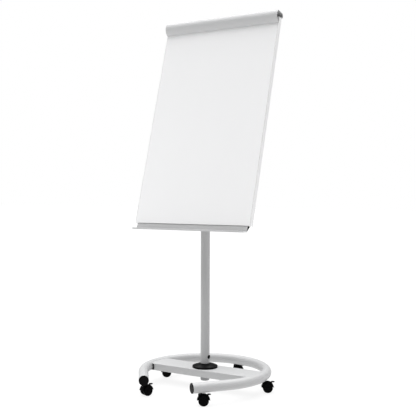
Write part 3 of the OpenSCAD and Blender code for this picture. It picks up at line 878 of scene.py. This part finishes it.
def pan_head(radius, height, shank_r, shank):
    """A screw about Z with its head above 0: domed pan head, cross recess, shank below."""
    rim = 0.35 * height
    dome = [(radius * cos(a), rim + (height - rim) * sin(a)) for a in [pi / 16 * k for k in range(8)]]
    outline = [(0, -shank), (shank_r, -shank), (shank_r, 0), (radius, 0)] + dome + [(0, height)]
    screw = revolve(outline, 32)
    width, reach = radius * 0.22, radius * 0.55
    deep = height * 0.45
    slots = [bar((-reach, -width / 2, height - deep), (reach, width / 2, height + 1)),
             bar((-width / 2, -reach, height - deep), (width / 2, reach, height + 1))]
    return kept(cut(screw, joined(*slots)))


def build_screws():
    """Screws of the tilt bracket, the tray and the hinge brackets, as one piece."""
    to_back = Matrix.Rotation(-pi / 2, 4, "X")
    down = Matrix.Rotation(pi, 4, "X")
    placed = []
    big = pan_head(5.5, 3, 3, 9)
    for x in (-90, 90):
        for z in (-50, 50):
            placed.append((big, Matrix.Translation((x, BACK_Y + 3, z)) @ to_back))
    tray = pan_head(4, 2.5, 2, 8)
    for x in (-300, -100, 100, 300):
        placed.append((tray, Matrix.Translation((x, FACE_Y + 13, BOTTOM - 2)) @ down))
    small = pan_head(4, 2.2, 2, 6)
    for x in (-250, 0, 250):
        placed.append((small, Matrix.Translation((x, BACK_Y + 2, RAIL_Z + 27)) @ to_back))
    screws = [turned(copy_of(pattern), matrix) for pattern, matrix in placed]
    piece("cross_head_screws", together(*screws), "board_screws", place=BOARD)


# ---- Board ----


def build_board():
    """The board's flat parts and profiles, with their edges eased."""
    refined("whiteboard_sheet", 0.3)
    refined("side_profile_left", 0.6)
    refined("side_profile_right", 0.6)
    refined("cross_profiles", 0.5)
    refined("back_channels", 0.8)
    refined("hook_track", 0.3)


def build_tray():
    """Extruded gutter with a beaded lip, fine ribs on its floor and shallow lines underneath."""
    wall, half, back_r, front_r, floor = 2, 326, 8, 4, 31
    along, up = Vector((cos(LEAN), -sin(LEAN))), Vector((sin(LEAN), cos(LEAN)))
    back = Vector((3, -25))
    front = back + along * floor - up * (back_r - front_r)
    rise = 90 - degrees(LEAN)
    under, inside = -back_r, wall - back_r

    def at(t, height):
        return tuple(back + along * t + up * height)

    outer = [(-5, 0)] + arc(back, back_r, 180, 180 + rise, 8)
    for t in (6, 12, 18):
        outer += [at(t, under), at(t + 0.5, under + 0.5), at(t + 2, under + 0.5), at(t + 2.5, under)]
    outer += arc(front, front_r, 180 + rise, 270 + rise, 6)
    lip = front + along * (front_r - wall / 2) + up * 3
    bead = arc(lip, 1.7, rise - 110, rise + 110, 10)
    inner = arc(front, front_r - wall, 270 + rise, 180 + rise, 6)
    for t in (24, 15, 6):
        rib = inside + 0.9
        inner += [at(t + 0.8, inside), at(t + 0.4, rib), at(t - 0.4, rib), at(t - 0.8, inside)]
    inner += arc(back, back_r - wall, 180 + rise, 180, 8) + [(-3, -wall), (-22, -wall), (-22, 0)]
    gutter = prism([(FACE_Y - n, BOTTOM + s) for n, s in outer + bead + inner], -half, half)
    piece("gutter", turned(gutter, ALONG_X), "pen_tray", place=BOARD, bevel=0.25, sharp=20)


# ---- Clamp rail ----

# The rail's section bends three times: a wide bulge in front, a corner at the top and one at the rear.
# Radii are those of its outer face; the turns are the angles, from straight ahead, where one bend hands over.
BULGE_R, CORNER_R, REAR_R, RAIL_WALL = 42, 8, 12, 2
BULGE_SETBACK, BULGE_TURN, TOP_TURN, TOP_LEN = 13, 25, 87, 41


def rail_bends():
    """Centres of the rail's three bends, in [distance before the surface, height above the rail's edge]."""
    def toward(angle):
        return Vector((cos(radians(angle)), sin(radians(angle))))

    bulge = Vector((-BULGE_SETBACK, sqrt(BULGE_R ** 2 - BULGE_SETBACK ** 2)))
    corner = bulge + (BULGE_R - CORNER_R) * toward(BULGE_TURN)
    rear = corner + (CORNER_R - REAR_R) * toward(TOP_TURN) + TOP_LEN * toward(TOP_TURN + 90)
    return bulge, corner, rear


def build_rail():
    """The clamp rail: a folded sheet with a front bulge, closed down at the back to its hinge barrel."""
    bulge, corner, rear = rail_bends()
    hinge = (rear[0] - 8, rear[1] - 8)

    def face(inset):
        low = -degrees(acos((BULGE_SETBACK + 0.3) / (BULGE_R - inset)))
        return (arc(bulge, BULGE_R - inset, low, BULGE_TURN, 40)
                + arc(corner, CORNER_R - inset, BULGE_TURN, TOP_TURN, 12)[1:]
                + arc(rear, REAR_R - inset, TOP_TURN, 180, 16)
                + [(rear[0] - REAR_R + inset, hinge[1])])

    section = face(0) + list(reversed(face(RAIL_WALL)))
    sheet = prism([(FACE_Y - n, RAIL_Z + s) for n, s in section], -HALF_W, HALF_W)
    centre = (FACE_Y - hinge[0], RAIL_Z + hinge[1])

    def barrel(radius, half):
        return turned(rod(radius, -half, half, 40), Matrix.Translation((*centre, 0)))

    tools = [barrel(2.05, HALF_W + 1)]
    for x, low, high in ((-250, 10.5, 26.5), (0, 10.5, 10.5), (250, 26.5, 10.5)):
        tools.append(bar((centre[0] - 6, centre[1] - 6, x - low), (centre[0] + 6, centre[1] + 5.5, x + high)))
    rail = cut(joined(sheet, barrel(4.2, HALF_W)), *tools)
    piece("rail_profile", turned(rail, ALONG_X), "clamp_rail", place=BOARD)
    return centre


def build_hinge(centre):
    """The hinge's brackets, and a torsion spring wound round its rod beside each outer bracket."""
    refined("hinge_brackets", 0.35)
    coil, wire, turns, pitch, steps = 3.4, 0.7, 5, 2.2, 28
    section = round_section(wire, 12)
    springs = []
    for side in (-1, 1):
        start = side * 238
        coils = []
        for k in range(turns * steps + 1):
            angle = 2 * pi * k / steps
            coils.append((start - side * pitch * k / steps, centre[0] - coil * cos(angle),
                          centre[1] + coil * sin(angle)))
        first, last = Vector(coils[0]), Vector(coils[-1])
        path = [first - Vector((0, 0, 14))] + coils + [last + Vector((0, 0, 13))]
        springs.append(sweep(path, lambda k: section))
    piece("torsion_springs", together(*springs), "clamp_springs", place=BOARD)


def build_hooks():
    for word in ("left", "right"):
        refined("paper_hook_" + word, 0.4)


build_base_ring()
build_end_caps()
build_crossbar()
build_weld_beads()
build_collar()
build_column()
build_castors()
build_head()
build_screws()
build_board()
build_tray()
build_hinge(build_rail())
build_hooks()
